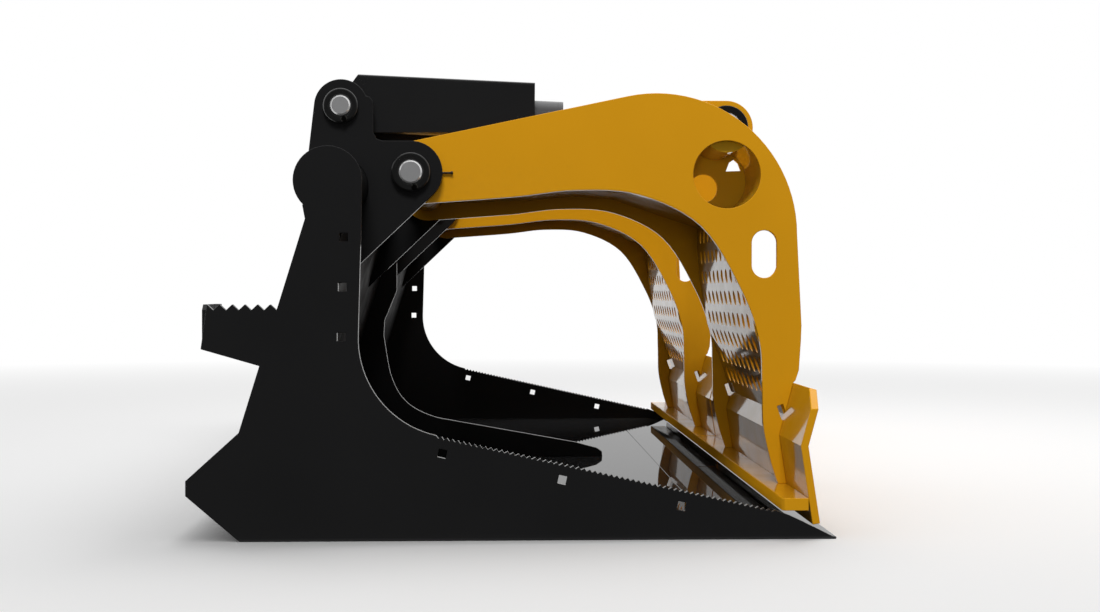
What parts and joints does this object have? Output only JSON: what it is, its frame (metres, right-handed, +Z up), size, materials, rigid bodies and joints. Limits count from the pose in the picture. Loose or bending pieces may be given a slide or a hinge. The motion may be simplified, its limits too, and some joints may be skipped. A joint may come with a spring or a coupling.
{
  "type": "grapple bucket",
  "caption": "Skid-steer grapple bucket with a sloping side plate at each end and hinged clamp arms, each opened by a covered hydraulic cylinder.",
  "frame": {"origin": "on the ground under the middle of the overall box", "axes": "+X out of the mouth, +Y to the operator's left, +Z up"},
  "size_m": [1.052, 2.134, 0.7789],
  "materials": {
    "black_coat": "glossy black powder coat",
    "yellow_coat": "glossy yellow paint",
    "wear_steel": "thin black paint on wear-resistant steel",
    "pin_steel": "turned steel with a bright chamfer",
    "rod_chrome": "hard chrome, ground",
    "cylinder_coat": "satin grey-black paint",
    "ring_coat": "black paint on turned steel",
    "washer_steel": "plain machined steel",
    "bolt_zinc": "zinc-plated bolt heads"
  },
  "bodies": {
    "bucket": {"right_side_plate": "black_coat", "left_side_plate": "black_coat", "floor_sheet": "black_coat", "back_sheet": "black_coat", "heel_sheet": "black_coat", "cutting_edge": "wear_steel", "wear_strips": "wear_steel", "centre_rib": "black_coat", "cross_tube": "black_coat", "tower_plate_1": "black_coat", "tower_plate_2": "black_coat", "tower_plate_3": "black_coat", "tower_plate_4": "black_coat", "base_lugs": "black_coat", "coupler_plate": "black_coat", "coupler_hook": "black_coat", "coupler_ribs": "black_coat", "pivot_pins": "pin_steel", "base_pins": "pin_steel", "pin_rings": "ring_coat", "pin_spacers": "washer_steel", "lock_bolts": "bolt_zinc"},
    "arm_right": {"right_outer_plate": "yellow_coat", "right_inner_plate": "yellow_coat", "right_web_plate": "yellow_coat", "right_belly_sheet": "yellow_coat", "right_screen": "yellow_coat", "right_port_tube": "yellow_coat", "right_rod_lugs": "yellow_coat", "right_pivot_tube": "yellow_coat", "right_bushes": "ring_coat", "right_rod_pin": "pin_steel", "right_blade": "yellow_coat", "right_lower_bar": "yellow_coat"},
    "barrel_right": {"right_barrel": "cylinder_coat", "right_gland": "cylinder_coat", "right_ports": "cylinder_coat", "right_guard": "black_coat"},
    "rod_right": {"right_rod": "rod_chrome", "right_piston": "washer_steel"},
    "rod_eye_right": {"right_rod_eye": "cylinder_coat"},
    "arm_left": {"left_outer_plate": "yellow_coat", "left_inner_plate": "yellow_coat", "left_web_plate": "yellow_coat", "left_belly_sheet": "yellow_coat", "left_screen": "yellow_coat", "left_port_tube": "yellow_coat", "left_rod_lugs": "yellow_coat", "left_pivot_tube": "yellow_coat", "left_bushes": "ring_coat", "left_rod_pin": "pin_steel", "left_blade": "yellow_coat", "left_lower_bar": "yellow_coat"},
    "barrel_left": {"left_barrel": "cylinder_coat", "left_gland": "cylinder_coat", "left_ports": "cylinder_coat", "left_guard": "black_coat"},
    "rod_left": {"left_rod": "rod_chrome", "left_piston": "washer_steel"},
    "rod_eye_left": {"left_rod_eye": "cylinder_coat"}
  },
  "joints": [
    {"name": "arm_right_pivot", "type": "hinge", "parent": "bucket", "child": "arm_right", "pos_m": [-0.175, -0.561, 0.606], "axis": [0, -1, 0], "range_deg": [0, 60]},
    {"name": "barrel_right_pivot", "type": "hinge", "parent": "bucket", "child": "barrel_right", "pos_m": [-0.2945, -0.812, 0.719], "axis": [0, -1, 0], "range_deg": [0, 54.1]},
    {"name": "rod_right_slide", "type": "slide", "parent": "barrel_right", "child": "rod_right", "axis": [0.9991, 0, -0.0432], "range_m": [-0.1527, 0]},
    {"name": "rod_eye_right_pivot", "type": "hinge", "parent": "arm_right", "child": "rod_eye_right", "pos_m": [0.376, -0.812, 0.69], "axis": [0, -1, 0], "range_deg": [-6, 0]},
    {"name": "arm_left_pivot", "type": "hinge", "parent": "bucket", "child": "arm_left", "pos_m": [-0.175, 0.561, 0.606], "axis": [0, -1, 0], "range_deg": [0, 60]},
    {"name": "barrel_left_pivot", "type": "hinge", "parent": "bucket", "child": "barrel_left", "pos_m": [-0.2945, 0.812, 0.719], "axis": [0, -1, 0], "range_deg": [0, 54.1]},
    {"name": "rod_left_slide", "type": "slide", "parent": "barrel_left", "child": "rod_left", "axis": [0.9991, 0, -0.0432], "range_m": [-0.1527, 0]},
    {"name": "rod_eye_left_pivot", "type": "hinge", "parent": "arm_left", "child": "rod_eye_left", "pos_m": [0.376, 0.812, 0.69], "axis": [0, -1, 0], "range_deg": [-6, 0]}
  ],
  "couplings": [
    {"joint": "barrel_right_pivot", "follows": "arm_right_pivot", "ratio": 0.9008},
    {"joint": "rod_right_slide", "follows": "arm_right_pivot", "m_per_rad": -0.1457},
    {"joint": "rod_eye_right_pivot", "follows": "arm_right_pivot", "ratio": -0.0992},
    {"joint": "barrel_left_pivot", "follows": "arm_left_pivot", "ratio": 0.9008},
    {"joint": "rod_left_slide", "follows": "arm_left_pivot", "m_per_rad": -0.1457},
    {"joint": "rod_eye_left_pivot", "follows": "arm_left_pivot", "ratio": -0.0992}
  ]
}
